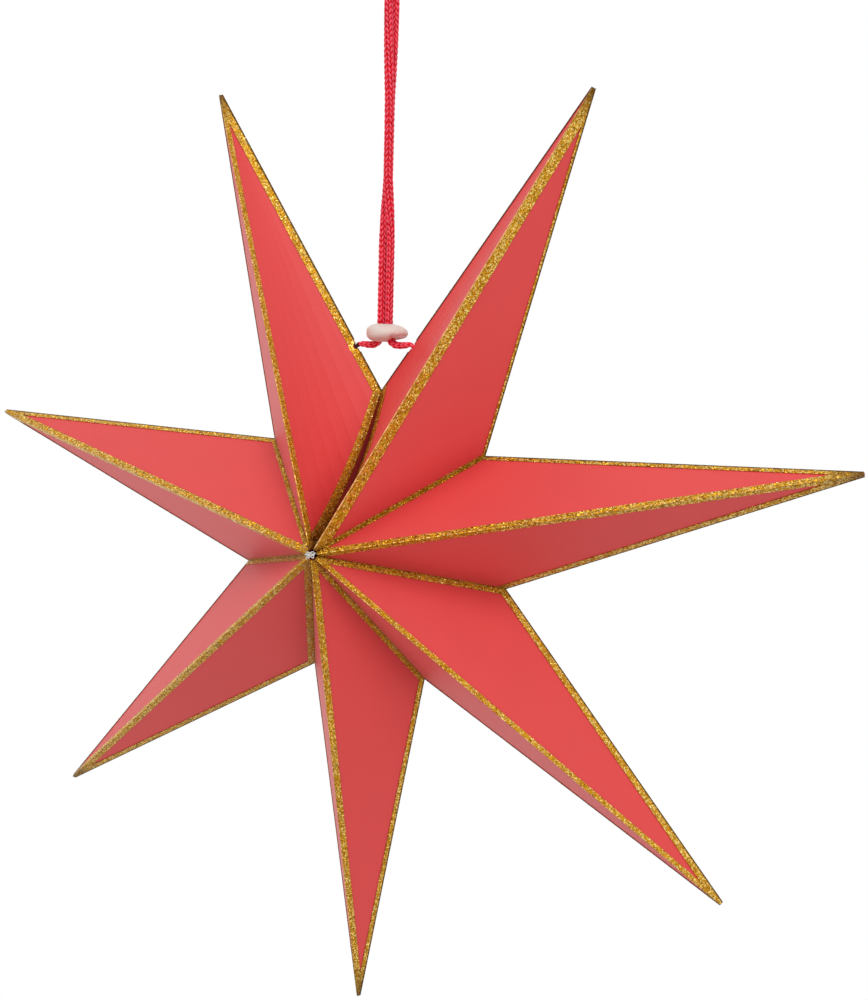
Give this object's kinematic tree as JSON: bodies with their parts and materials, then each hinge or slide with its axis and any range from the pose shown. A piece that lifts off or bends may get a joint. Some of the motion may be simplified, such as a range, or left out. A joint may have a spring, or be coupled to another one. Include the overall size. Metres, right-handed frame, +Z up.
{
  "type": "hanging paper star",
  "caption": "Hanging star of folded card arms glued side by side, with gold glitter edges, a doubled knitted cord and a sliding bead that closes the seam.",
  "frame": {"origin": "the top of the inside of the hanging loop, where a hook bears", "axes": "+Z up along the hanging cord, the star's front faces -Y, +X to the right seen from the front"},
  "size_m": [0.2878, 0.0806, 0.3321],
  "materials": {
    "red_card": "matte coral-red card with a fine fibre grain",
    "gold_glitter": "raised gold glitter in clear glue",
    "white_thread": "twisted sewing thread",
    "red_cord": "knitted polyester cord with a soft sheen",
    "white_silicone": "soft translucent white silicone"
  },
  "bodies": {
    "star": {"arm_1": "red_card", "arm_2": "red_card", "arm_3": "red_card", "arm_4": "red_card", "arm_5": "red_card", "arm_6": "red_card", "arm_7": "red_card", "glitter_edging_1": "gold_glitter", "glitter_edging_2": "gold_glitter", "glitter_edging_3": "gold_glitter", "glitter_edging_4": "gold_glitter", "glitter_edging_5": "gold_glitter", "glitter_edging_6": "gold_glitter", "glitter_edging_7": "gold_glitter", "front_thread_tie": "white_thread", "back_thread_tie": "white_thread", "hanging_cord": "red_cord", "end_knot_left": "red_cord", "end_knot_right": "red_cord"},
    "bead": {"cord_bead": "white_silicone"}
  },
  "joints": [
    {"name": "bead_slide", "type": "slide", "parent": "star", "child": "bead", "axis": [0, 0, 1], "range_m": [0, 0.094]}
  ]
}
